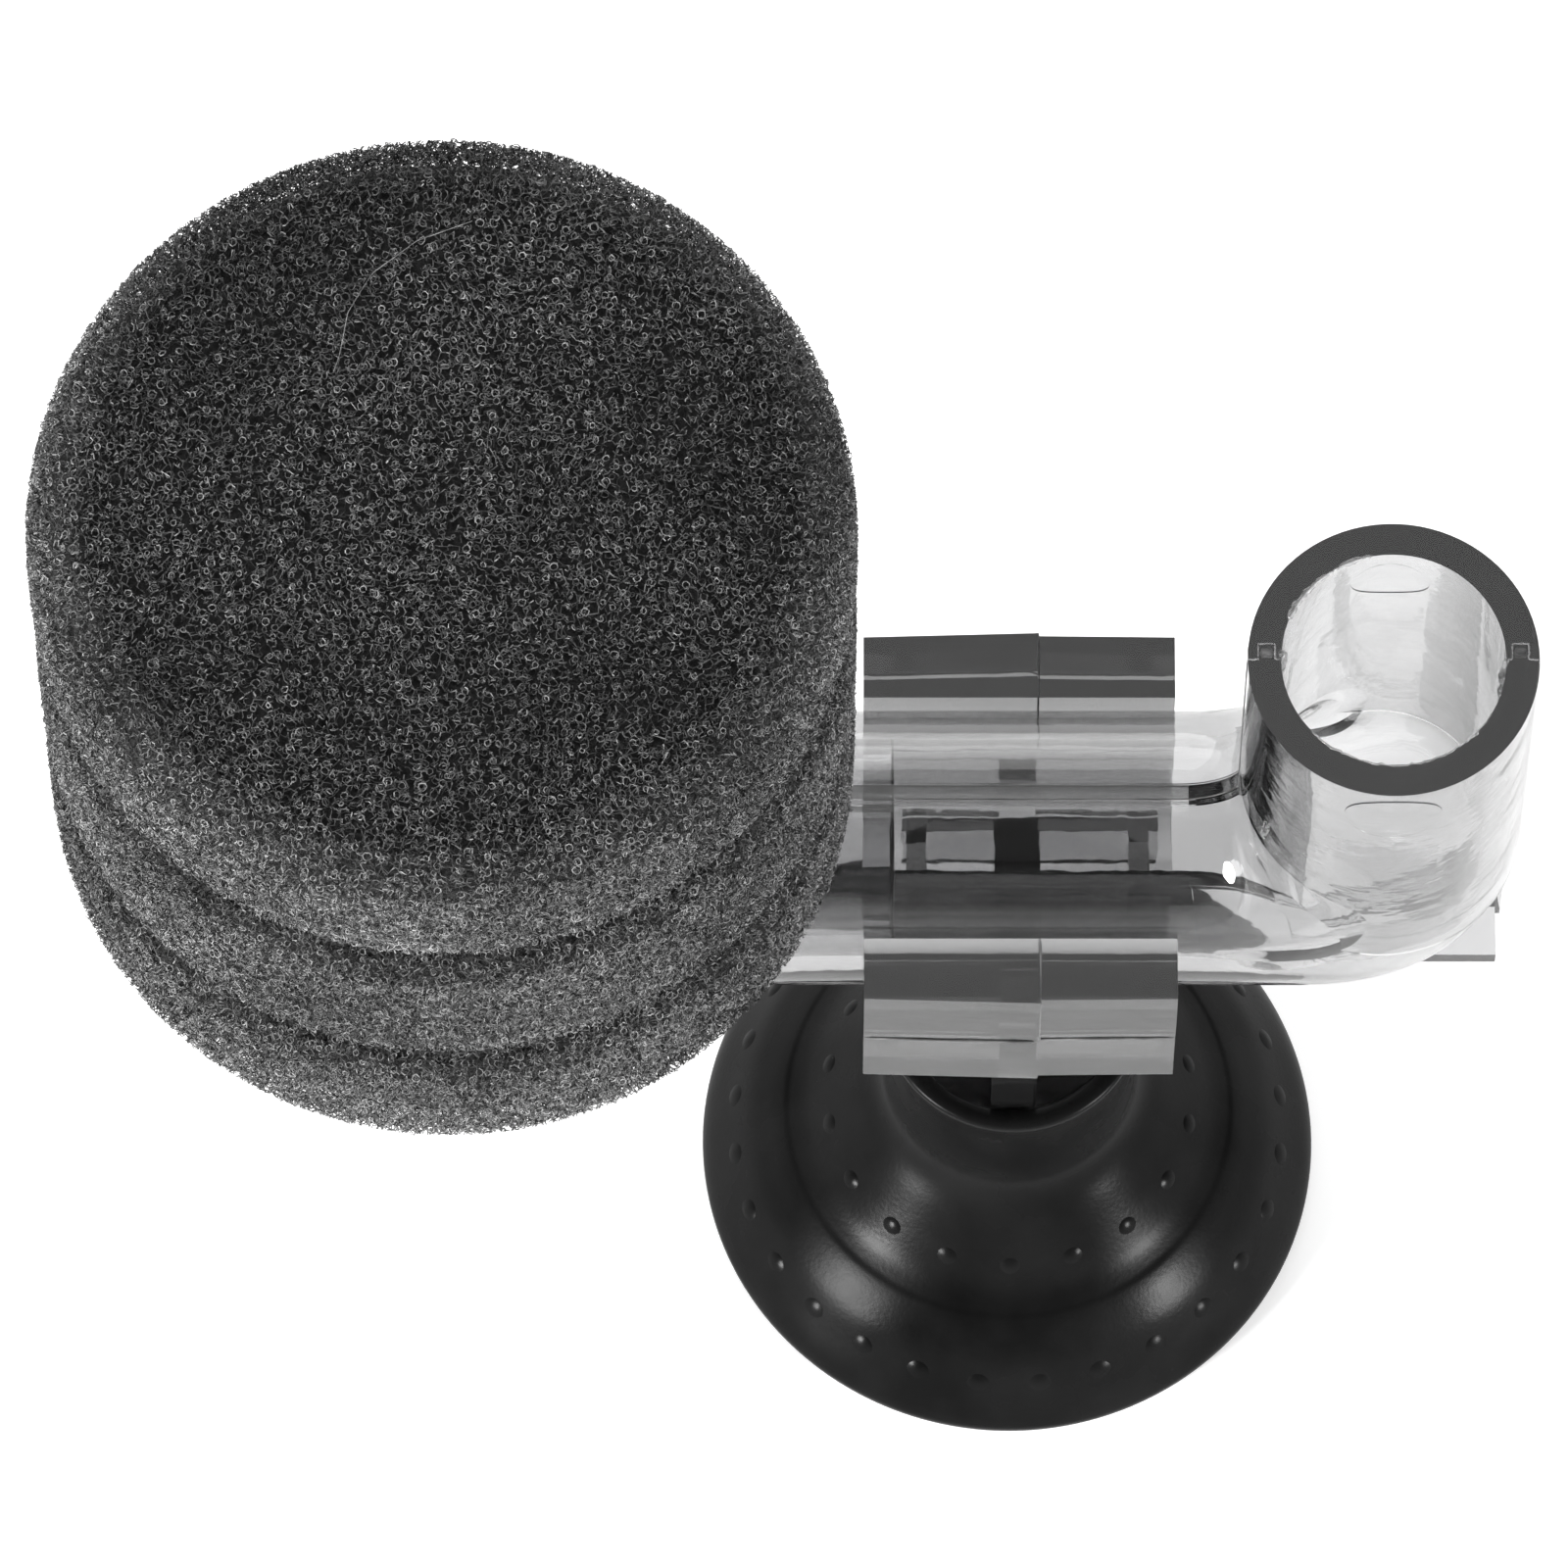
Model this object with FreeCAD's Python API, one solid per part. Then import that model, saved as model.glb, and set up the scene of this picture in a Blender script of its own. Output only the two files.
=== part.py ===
"""Sponge filter on a suction cup.

Frame: millimetres, +Z away from the glass, +X along the lift tube towards the outlet.
The origin is the centre of the suction cup's rim, on the glass.
"""
import FreeCAD, Part
import os
from FreeCAD import Vector

# ---------------------------------------------------------------- driving dimensions
TUBE_Z = 67.0  # lift tube axis above the glass
TUBE_R = 10.4  # outside of the lift tube
MOUTH_R = 10.75  # outside of the two upright elbow legs, slightly larger
BORE_R = 8.3  # bore of tube and elbows
BEND_R = 5.6  # centre-line radius on the round outside of both elbows
THROAT_R = 15.1  # centre-line radius that softens the inside corner of the outlet elbow
THROAT_SHY = 0.05  # the softening pipe is thinner by this much
FIT = 0.06  # radial clearance of parts that turn in each other
SEAT_FIT = 0.02  # radial clearance of parts glued or pushed together

OUTLET_X = 27.0  # axis of the outlet mouth
OUTLET_TOP_Z = TUBE_Z + 39.4
INTAKE_X = -42.6  # axis of the intake leg, strainer and sponge
INTAKE_TOP_Z = TUBE_Z + 13.6
SOCKET_X = -26.4  # left end of the lift tube, against the intake elbow's shoulder
SHOULDER_GAP = 0.1
SPIGOT_X = -9.7  # inner end of the intake elbow's spigot
SPIGOT_WALL = 1.5
SPIGOT_ROOT = 3.0  # length over which the spigot grows out of the elbow

TONGUE = 1.25  # square tongue along the seam of each pair of shells

WEB_T = 2.8  # gusset behind the outlet elbow
WEB_X = 36.8  # outer edge of web and flange
WEB_TOP_Z = TUBE_Z + 9.0
FLANGE_X0 = 22.0
FLANGE_W = 10.6
FLANGE_T = 1.5
FLANGE_STEP = 0.4  # the flange ends this far before the web
FLANGE_DROP = 0.1  # and lies this far behind it

MARK_R = 3.6  # round ejector marks near the mouth, outside and inside
MARK_IN_R = 2.9
MARK_Z = TUBE_Z + 34.6
MARK_STEP = 0.08  # the outer mark stands proud by this much, the inner one is sunk by it

CLIP_L = 23.6
CLIP_W = 28.4  # across the clip, outside
CLIP_LIP_Z = 5.2  # lips end this far in front of the tube axis
CLIP_LIP_BITE = 1.2  # front lip reaches this far over the tube
CLIP_LEAN = 1.0  # the rear lip stands this much further out
CLIP_BACK_Z = -12.4
CLIP_STEP_Z = -3.3  # the rear part is slightly narrower below this line
CLIP_INSET = 0.35
CLIP_FLARE = 0.35  # draft towards the parting line
CLIP_DRAFT = 0.1  # draft towards both ends
CLIP_PART_X = 1.5
CLIP_WALL = 2.2  # walls around the clip's hollow corners
CLIP_SADDLE_T = 2.0
CLIP_POCKET_TOP = -1.0  # from the tube axis
CLIP_MID_WEB = 2.8
ROOT_X = (-8.8, 10.8)  # box-shaped root of the stem, open at the back
ROOT_Y = 8.1
ROOT_WALL = 1.6
ROOT_ENDS = (-8.5, 10.1)  # outer faces of the box's end walls
ROOT_DEPTH = 7.0
STEM_T = 3.5
STEM_W = 16.2
BUTTON_R = 8.85
BUTTON_T = 2.6
BUTTON_GAP = 0.1
OVERLAP = 0.5  # joined shapes run into each other by this much

CUP_R = 24.2
CUP_RING_R = 21.6  # inner edge of the flat rim ring
CUP_EDGE_Z = 1.2
CUP_DRAFT = 1.2
CUP_NECK_R = 10.15
CUP_NECK_WAIST = 0.4
CUP_TOP_Z = 32.0
CUP_TOP_CHAMFER = 0.6
CUP_SHOULDER_R = 17.9
CUP_SHOULDER_Z = 8.7
CUP_NECK_Z = 18.6
CUP_HOLLOW = ((0.0, 7.4), (6.0, 6.9), (12.0, 5.2), (17.5, 2.6))  # radius and height of the underside
SOCKET_LIP_R = 8.35
SOCKET_LIP_Z = 30.6
SOCKET_FLOOR_Z = 27.8

CORE_R = 9.9
CORE_WALL = 1.8
CORE_TOP_Z = 129.6
CORE_FLANGE_R = 17.0
CORE_FLANGE_T = 2.0
CORE_SPIGOT_L = 6.0
CORE_THROAT = 1.4  # step from the strainer's bore to the bore of its spigot
SLOT_W = 2.0
SLOT_L = 16.0
SLOT_GAP = 4.0
SLOT_ROWS = 2
SLOTS_PER_ROW = 10
CAP_T = 1.8
CAP_EDGE_R = 0.8
CAP_PLUG_L = 4.0
CAP_PLUG_WALL = 1.5

SPONGE_R = 30.0
SPONGE_BACK_Z = 83.0
SPONGE_FRONT_Z = 136.6
SPONGE_EDGE_R = 4.0
SPONGE_BORE_R = CORE_R + 0.3
SPONGE_BORE_TOP_Z = CORE_TOP_Z + CAP_T + 0.7
GROOVE_DEPTH = 6.5
GROOVE_W = 6.0
GROOVE_FLOOR_W = 0.6
GROOVES_Z = (TUBE_Z + 33.6, TUBE_Z + 54.2)

BOSS_L = 1.2  # the nipple's boss stands this far off the elbow
NIPPLE_R = 2.4
NIPPLE_BORE_R = 1.3
NIPPLE_L = 12.0
NIPPLE_TIP_L = 1.5
NIPPLE_TIP_DRAFT = 0.5
NIPPLE_SEAT_L = 3.0
NIPPLE_COLLAR_R = 4.2
NIPPLE_COLLAR_L = 2.0
JET_R = 2.2
JET_START_X = INTAKE_X - MOUTH_R + 1.8
JET_END_X = -20.0

BIG = 300.0
X, Y, Z = Vector(1, 0, 0), Vector(0, 1, 0), Vector(0, 0, 1)


# ---------------------------------------------------------------- small helpers
def cylinder(radius, start, axis, length):
    return Part.makeCylinder(radius, length, start, axis)


def block(x0, x1, y0, y1, z0, z1):
    return Part.makeBox(x1 - x0, y1 - y0, z1 - z0, Vector(x0, y0, z0))


def turned(profile, axis_x=0.0):
    """Solid of revolution of (radius, z) points about the upright axis at axis_x."""
    points = [Vector(axis_x + r, 0, z) for r, z in profile]
    face = Part.Face(Part.makePolygon(points + points[:1]))
    return face.revolve(Vector(axis_x, 0, 0), Z, 360)


def save(name, shape):
    shape = shape.removeSplitter()
    assert len(shape.Solids) == 1, name
    assert shape.isValid(), name
    shape.exportStep(f"parts/{name}.step")


# ---------------------------------------------------------------- elbows
def half_disc(radius, x, top_z):
    """The part below top_z of a disc across the tube axis at x."""
    disc = Part.Face(Part.Wire(Part.makeCircle(radius, Vector(x, 0, TUBE_Z), X)))
    low = top_z - BIG
    corners = [Vector(x, -BIG, top_z), Vector(x, BIG, top_z), Vector(x, BIG, low), Vector(x, -BIG, low)]
    return disc.common(Part.Face(Part.makePolygon(corners + corners[:1])))


def elbow(leg_x, end_x, top_z, run_r, leg_r, soft=False):
    """Solid L: a run along the tube axis from end_x, a round outer bend, an upright leg at leg_x."""
    side = 1.0 if leg_x > end_x else -1.0
    bend_x = leg_x - side * BEND_R
    bend_z = TUBE_Z + BEND_R
    run = cylinder(run_r, Vector(end_x, 0, TUBE_Z), X * side, abs(bend_x - end_x))
    leg = cylinder(leg_r, Vector(leg_x, 0, bend_z), Z, top_z - bend_z)
    turn = half_disc(run_r, bend_x, bend_z).revolve(Vector(bend_x, 0, bend_z), Y, -90 * side)
    solid = run.fuse([leg, turn])
    if soft:
        start = Vector(leg_x - side * THROAT_R, 0, TUBE_Z)
        ring = Part.Face(Part.Wire(Part.makeCircle(run_r - THROAT_SHY, start, X)))
        solid = solid.fuse(ring.revolve(start + Z * THROAT_R, Y, -90 * side))
    return solid


def tongues(leg_x, end_x, top_z, soft=False):
    """The ridge in the middle of the wall that runs along the seam, on the upper side of it."""
    middle = (BORE_R + TUBE_R) / 2
    outside = elbow(leg_x, end_x, top_z, middle + TONGUE / 2, middle + TONGUE / 2, soft)
    inside = elbow(leg_x, end_x, top_z, middle - TONGUE / 2, middle - TONGUE / 2, soft)
    slab = block(-BIG, BIG, -TONGUE / 2, TONGUE, TUBE_Z - BIG, TUBE_Z + BIG)
    return outside.cut(inside).common(slab)


def split(shape, ridge):
    """The two glued shells of a hollow part: upper (+Y) with the groove, lower with the tongue."""
    upper = shape.common(block(-BIG, BIG, 0, BIG, -BIG, BIG)).cut(ridge)
    lower = shape.common(block(-BIG, BIG, -BIG, 0, -BIG, BIG)).fuse(ridge)
    return upper, lower


def gusset():
    """Web behind the outlet bend with its rear flange."""
    back = TUBE_Z - TUBE_R
    web = block(OUTLET_X - BEND_R, WEB_X, -WEB_T / 2, WEB_T / 2, back, WEB_TOP_Z)
    half = FLANGE_W / 2
    low = back - FLANGE_DROP
    flange = block(FLANGE_X0, WEB_X - FLANGE_STEP, -half, half, low, low + FLANGE_T)
    return web.fuse(flange)


def lift_tube_shells():
    outside = elbow(OUTLET_X, SOCKET_X, OUTLET_TOP_Z, TUBE_R, MOUTH_R, soft=True).fuse(gusset())
    bore = elbow(OUTLET_X, SOCKET_X - 1, OUTLET_TOP_Z + 1, BORE_R, BORE_R, soft=True)
    ridge = tongues(OUTLET_X, SOCKET_X, OUTLET_TOP_Z, soft=True)
    upper, lower = split(outside.cut(bore), ridge)
    leg_foot = Vector(OUTLET_X, 0, TUBE_Z + BEND_R)
    pad = cylinder(MARK_R, Vector(OUTLET_X, -(BORE_R + MOUTH_R) / 2, MARK_Z), -Y, MOUTH_R)
    pad = pad.common(cylinder(MOUTH_R + MARK_STEP, leg_foot, Z, BIG))
    dent = cylinder(MARK_IN_R, Vector(OUTLET_X, 0, MARK_Z), Y, MOUTH_R)
    dent = dent.common(cylinder(BORE_R + MARK_STEP, leg_foot, Z, BIG))
    return upper.cut(dent), lower.fuse(pad)


def intake_elbow_shells():
    centre = Vector(INTAKE_X, 0, TUBE_Z)
    spigot_r = BORE_R - FIT
    root_x = SOCKET_X - SPIGOT_ROOT
    leg = elbow(INTAKE_X, SOCKET_X - SHOULDER_GAP, INTAKE_TOP_Z, TUBE_R, MOUTH_R)
    boss = cylinder(NIPPLE_COLLAR_R, centre, -X, MOUTH_R + BOSS_L)
    bore = elbow(INTAKE_X, root_x, INTAKE_TOP_Z + 1, BORE_R, BORE_R)
    spigot = cylinder(spigot_r, Vector(root_x, 0, TUBE_Z), X, SPIGOT_X - root_x)
    spigot_bore = cylinder(spigot_r - SPIGOT_WALL, centre, X, SPIGOT_X + 1 - INTAKE_X)
    nipple_hole = cylinder(NIPPLE_R + SEAT_FIT, centre, -X, BIG)
    solid = leg.fuse(boss).cut(bore).fuse(spigot).cut(spigot_bore).cut(nipple_hole)
    ridge = tongues(INTAKE_X, root_x - SHOULDER_GAP, INTAKE_TOP_Z)
    ridge = ridge.cut(cylinder(NIPPLE_COLLAR_R + TONGUE / 3, centre, -X, BIG))
    return split(solid, ridge)


# ---------------------------------------------------------------- air inlet
def air_nipple():
    """Smooth spout for a 4 mm airline, pushed into the back of the intake elbow."""
    seat_x = INTAKE_X - MOUTH_R - BOSS_L
    end_x = seat_x - NIPPLE_COLLAR_L - NIPPLE_L
    start_x = seat_x + NIPPLE_SEAT_L
    spout = cylinder(NIPPLE_R, Vector(start_x, 0, TUBE_Z), -X, start_x - end_x)
    collar = cylinder(NIPPLE_COLLAR_R, Vector(seat_x, 0, TUBE_Z), -X, NIPPLE_COLLAR_L)
    tip_r = NIPPLE_R - NIPPLE_TIP_DRAFT
    tip = Part.makeCone(NIPPLE_R, tip_r, NIPPLE_TIP_L, Vector(end_x, 0, TUBE_Z), -X)
    bore = cylinder(NIPPLE_BORE_R, Vector(INTAKE_X, 0, TUBE_Z), -X, BIG)
    return spout.fuse([collar, tip]).cut(bore)


def air_jet_tube():
    """Thin tube from the nipple through the elbow, so that the air rises inside the lift tube."""
    length = JET_END_X - JET_START_X
    outside = cylinder(JET_R, Vector(JET_START_X, 0, TUBE_Z), X, length)
    return outside.cut(cylinder(NIPPLE_BORE_R, Vector(JET_START_X - 1, 0, TUBE_Z), X, length + 2))


# ---------------------------------------------------------------- strainer and sponge
def strainer_core():
    """Slotted tube inside the sponge, with the flange the sponge sits on and a spigot."""
    foot = Vector(INTAKE_X, 0, INTAKE_TOP_Z)
    tube = cylinder(CORE_R, foot, Z, CORE_TOP_Z - INTAKE_TOP_Z)
    flange = cylinder(CORE_FLANGE_R, foot, Z, CORE_FLANGE_T)
    spigot = cylinder(BORE_R - SEAT_FIT, foot, -Z, CORE_SPIGOT_L)
    bore_r = CORE_R - CORE_WALL
    bore = cylinder(bore_r, foot, Z, BIG)
    throat = cylinder(bore_r - CORE_THROAT, foot, -Z, BIG)
    solid = tube.fuse([flange, spigot]).cut(bore).cut(throat)
    first_z = INTAKE_TOP_Z + CORE_FLANGE_T + SLOT_GAP
    for row in range(SLOT_ROWS):
        for i in range(SLOTS_PER_ROW // 2):
            slot = block(-BIG, BIG, -SLOT_W / 2, SLOT_W / 2, 0, SLOT_L)
            slot.rotate(Vector(0, 0, 0), Z, 360.0 / SLOTS_PER_ROW * (i + 0.5 * row))
            slot.translate(Vector(INTAKE_X, 0, first_z + row * (SLOT_L + SLOT_GAP)))
            solid = solid.cut(slot)
    return solid


def strainer_end_cap():
    top = Vector(INTAKE_X, 0, CORE_TOP_Z)
    plug_r = CORE_R - CORE_WALL - SEAT_FIT
    disc = cylinder(CORE_R, top, Z, CAP_T)
    disc = disc.makeFillet(CAP_EDGE_R, [disc.Edges[0]])
    plug = cylinder(plug_r, top, -Z, CAP_PLUG_L)
    hollow = cylinder(plug_r - CAP_PLUG_WALL, top, -Z, CAP_PLUG_L + 1)
    return disc.fuse(plug).cut(hollow)


def foam_sponge():
    """Foam cylinder with rounded ends, two V grooves and a blind bore for the strainer."""
    back = Vector(INTAKE_X, 0, SPONGE_BACK_Z)
    solid = cylinder(SPONGE_R, back, Z, SPONGE_FRONT_Z - SPONGE_BACK_Z)
    rims = [e for e in solid.Edges if e.Length > SPONGE_R and len(e.Vertexes) == 1]
    solid = solid.makeFillet(SPONGE_EDGE_R, rims)
    floor_r = SPONGE_R - GROOVE_DEPTH
    half_floor = GROOVE_FLOOR_W / 2
    half_mouth = GROOVE_W / 2 + OVERLAP
    for z in GROOVES_Z:
        profile = [
            (floor_r, z - half_floor),
            (SPONGE_R + 1, z - half_mouth),
            (SPONGE_R + 1, z + half_mouth),
            (floor_r, z + half_floor),
        ]
        solid = solid.cut(turned(profile, INTAKE_X))
    return solid.cut(cylinder(SPONGE_BORE_R, back - Z, Z, SPONGE_BORE_TOP_Z - SPONGE_BACK_Z + 1))


# ---------------------------------------------------------------- clip
def clip_section(x, half_width):
    """Outer outline of the clip across the tube, as a wire at x."""
    rear = half_width - CLIP_INSET
    lip, step, back = TUBE_Z + CLIP_LIP_Z, TUBE_Z + CLIP_STEP_Z, TUBE_Z + CLIP_BACK_Z
    points = [(-half_width, lip), (-half_width, step), (-rear, step), (-rear, back)]
    points += [(rear, back), (rear, step), (half_width, step), (half_width + CLIP_LEAN, lip)]
    corners = [Vector(x, y, z) for y, z in points]
    return Part.makePolygon(corners + corners[:1])


def clip_body():
    """Two drafted halves that meet at the parting line, bored for the tube."""
    left, right = -CLIP_L / 2, CLIP_L / 2
    half = CLIP_W / 2
    end = half - CLIP_DRAFT
    left_mid = clip_section(CLIP_PART_X, half + CLIP_FLARE - CLIP_DRAFT)
    left_body = Part.makeLoft([clip_section(left, end), left_mid], True, True)
    right_body = Part.makeLoft([clip_section(CLIP_PART_X, half), clip_section(right, end)], True, True)
    seat_r = TUBE_R + FIT
    bite = TUBE_R - CLIP_LIP_BITE
    seat = cylinder(seat_r, Vector(left - 1, 0, TUBE_Z), X, CLIP_L + 2)
    mouth = block(left - 1, right + 1, -bite, bite + CLIP_LEAN, TUBE_Z, TUBE_Z + BIG)
    return left_body.fuse(right_body).cut(seat).cut(mouth)


def clip_pockets():
    """Hollows that core out the thick rear corners, open at both ends of the clip."""
    outer = CLIP_W / 2 - CLIP_INSET - CLIP_WALL
    back = TUBE_Z + CLIP_BACK_Z + CLIP_WALL
    saddle = cylinder(TUBE_R + FIT + CLIP_SADDLE_T, Vector(-CLIP_L, 0, TUBE_Z), X, 2 * CLIP_L)
    pockets = block(-CLIP_L, CLIP_L, -outer, outer, back, TUBE_Z + CLIP_POCKET_TOP).cut(saddle)
    return pockets.cut(block(-CLIP_MID_WEB / 2, CLIP_MID_WEB / 2, -BIG, BIG, -BIG, BIG))


def stem_root():
    """Open box under the clip's back from which the stem grows."""
    top = TUBE_Z + CLIP_BACK_Z
    x0, x1 = ROOT_X
    end0, end1 = ROOT_ENDS
    sides = [
        block(x0, x1, ROOT_Y - ROOT_WALL, ROOT_Y, top - ROOT_DEPTH, top + OVERLAP),
        block(x0, x1, -ROOT_Y, ROOT_WALL - ROOT_Y, top - ROOT_DEPTH, top + OVERLAP),
        block(end1 - ROOT_WALL, end1, -ROOT_Y, ROOT_Y, top - ROOT_DEPTH, top + OVERLAP),
        block(end0, end0 + ROOT_WALL, -ROOT_Y, ROOT_Y, top - ROOT_DEPTH, top + OVERLAP),
    ]
    return sides[0].fuse(sides[1:])


def tube_clip():
    button_z = SOCKET_FLOOR_Z + BUTTON_GAP
    stem_foot = button_z + BUTTON_T - OVERLAP
    stem_top = TUBE_Z + CLIP_BACK_Z + OVERLAP
    stem = block(-STEM_T / 2, STEM_T / 2, -STEM_W / 2, STEM_W / 2, stem_foot, stem_top)
    button = cylinder(BUTTON_R, Vector(0, 0, button_z), Z, BUTTON_T)
    return clip_body().cut(clip_pockets()).fuse([stem_root(), stem, button])


# ---------------------------------------------------------------- suction cup
def suction_cup():
    waist_r = CUP_NECK_R - CUP_NECK_WAIST
    outside = [
        (CUP_RING_R, 0.0),
        (CUP_R, 0.0),
        (CUP_R, CUP_EDGE_Z),
        (CUP_R - CUP_DRAFT, CUP_EDGE_Z + 2.0),
        (CUP_SHOULDER_R + 2.2, CUP_SHOULDER_Z - 1.8),
        (CUP_SHOULDER_R, CUP_SHOULDER_Z),
        (CUP_SHOULDER_R - 2.6, CUP_SHOULDER_Z + 3.2),
        (CUP_NECK_R + 1.6, CUP_NECK_Z - 3.0),
        (waist_r, CUP_NECK_Z),
        (waist_r + CUP_NECK_WAIST / 2, CUP_TOP_Z - 4.0),
        (CUP_NECK_R, CUP_TOP_Z - CUP_TOP_CHAMFER),
        (CUP_NECK_R - CUP_TOP_CHAMFER, CUP_TOP_Z),
    ]
    socket = [
        (SOCKET_LIP_R, CUP_TOP_Z),
        (SOCKET_LIP_R, SOCKET_LIP_Z),
        (BUTTON_R + FIT, SOCKET_LIP_Z),
        (BUTTON_R + FIT, SOCKET_FLOOR_Z),
        (0.0, SOCKET_FLOOR_Z),
    ]
    return turned(outside + socket + list(CUP_HOLLOW))


def main():
    os.makedirs("parts", exist_ok=True)
    lift_upper, lift_lower = lift_tube_shells()
    intake_upper, intake_lower = intake_elbow_shells()
    save("lift_tube_upper_shell", lift_upper)
    save("lift_tube_lower_shell", lift_lower)
    save("intake_elbow_upper_shell", intake_upper)
    save("intake_elbow_lower_shell", intake_lower)
    save("air_nipple", air_nipple())
    save("air_jet_tube", air_jet_tube())
    save("strainer_core", strainer_core())
    save("strainer_end_cap", strainer_end_cap())
    save("foam_sponge", foam_sponge())
    save("tube_clip", tube_clip())
    save("suction_cup", suction_cup())


main()
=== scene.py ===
"""Looks of the sponge filter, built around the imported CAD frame. Metres, +Z up."""

import math

import bmesh
import bpy
import numpy as np
from mathutils import Matrix, Vector


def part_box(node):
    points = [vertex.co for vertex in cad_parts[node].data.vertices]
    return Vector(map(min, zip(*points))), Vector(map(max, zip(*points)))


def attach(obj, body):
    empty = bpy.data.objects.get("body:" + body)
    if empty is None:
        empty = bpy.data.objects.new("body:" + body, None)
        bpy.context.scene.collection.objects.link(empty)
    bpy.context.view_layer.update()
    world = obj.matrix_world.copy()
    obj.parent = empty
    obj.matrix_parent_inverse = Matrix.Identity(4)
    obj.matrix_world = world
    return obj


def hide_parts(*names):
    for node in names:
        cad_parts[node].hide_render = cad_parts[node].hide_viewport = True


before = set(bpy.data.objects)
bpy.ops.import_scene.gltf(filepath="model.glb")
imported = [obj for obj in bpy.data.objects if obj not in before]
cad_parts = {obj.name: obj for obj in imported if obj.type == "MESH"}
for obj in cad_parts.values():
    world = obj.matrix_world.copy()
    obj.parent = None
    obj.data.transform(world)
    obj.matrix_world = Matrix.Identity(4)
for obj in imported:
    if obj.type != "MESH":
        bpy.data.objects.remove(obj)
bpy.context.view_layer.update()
MM = 0.001
rng = np.random.default_rng(7)

# ---------------------------------------------------------------- places read from the frame
SPONGE_LO, SPONGE_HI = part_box("foam_sponge")
SPONGE_X = (SPONGE_LO.x + SPONGE_HI.x) / 2
SPONGE_R = (SPONGE_HI.x - SPONGE_LO.x) / 2


# ---------------------------------------------------------------- node material helpers
def new_material(name):
    """A material with its Principled shader, ready for more nodes."""
    material = bpy.data.materials.new(name)
    material.use_nodes = True
    return material, material.node_tree, material.node_tree.nodes["Principled BSDF"]


def texture(tree, kind, scale, detail=2.0, stretch=(1, 1, 1)):
    """A noise or Voronoi texture in object coordinates, with scale in cells per metre."""
    place = tree.nodes.new("ShaderNodeTexCoord")
    mapping = tree.nodes.new("ShaderNodeMapping")
    mapping.inputs["Scale"].default_value = stretch
    node = tree.nodes.new(kind)
    node.inputs["Scale"].default_value = scale
    if "Detail" in node.inputs:
        node.inputs["Detail"].default_value = detail
    tree.links.new(place.outputs["Object"], mapping.inputs["Vector"])
    tree.links.new(mapping.outputs["Vector"], node.inputs["Vector"])
    return node


def ramp(tree, source, stops):
    """A colour ramp fed by source, with (position, grey or colour) stops."""
    node = tree.nodes.new("ShaderNodeValToRGB")
    while len(node.color_ramp.elements) < len(stops):
        node.color_ramp.elements.new(0.5)
    for element, (position, tone) in zip(node.color_ramp.elements, stops):
        element.position = position
        element.color = (tone, tone, tone, 1) if isinstance(tone, float) else (*tone, 1)
    tree.links.new(source, node.inputs["Fac"])
    return node.outputs["Color"]


def bump(tree, height, strength, distance, normal=None):
    node = tree.nodes.new("ShaderNodeBump")
    node.inputs["Strength"].default_value = strength
    node.inputs["Distance"].default_value = distance
    tree.links.new(height, node.inputs["Height"])
    if normal is not None:
        tree.links.new(normal, node.inputs["Normal"])
    return node.outputs["Normal"]


# ---------------------------------------------------------------- materials
def foam_material(name, dark, light):
    """Matt black polyurethane: tone wanders from strut to strut and over the block; the lighter of its two
    copies paints light on the cell rims.
    """
    material, tree, shader = new_material(name)
    fine = texture(tree, "ShaderNodeTexNoise", 1400, 2.0)
    broad = texture(tree, "ShaderNodeTexNoise", 60, 3.0)
    mix = tree.nodes.new("ShaderNodeMath")
    mix.operation = "MULTIPLY"
    tree.links.new(fine.outputs["Fac"], mix.inputs[0])
    tree.links.new(broad.outputs["Fac"], mix.inputs[1])
    tree.links.new(ramp(tree, mix.outputs[0], [(0.15, dark), (0.40, light)]), shader.inputs["Base Color"])
    tree.links.new(ramp(tree, fine.outputs["Fac"], [(0.3, 0.38), (0.7, 0.62)]), shader.inputs["Roughness"])
    shader.inputs["Specular IOR Level"].default_value = 0.5
    return material


def foam_core_shade_material():
    """The depth of the foam in painted shade: pores painted near black for the shade inside the block, with
    the dim net of the struts between them.
    """
    material, tree, shader = new_material("foam_depth_painted_shade")
    cells = texture(tree, "ShaderNodeTexVoronoi", 1250)
    cells.feature = "DISTANCE_TO_EDGE"
    tree.links.new(
        ramp(tree, cells.outputs["Distance"], [(0.0, 0.035), (0.12, 0.012), (0.3, 0.003)]),
        shader.inputs["Base Color"],
    )
    tree.links.new(bump(tree, cells.outputs["Distance"], 1.0, 0.0006), shader.inputs["Normal"])
    shader.inputs["Roughness"].default_value = 0.9
    return material


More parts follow.
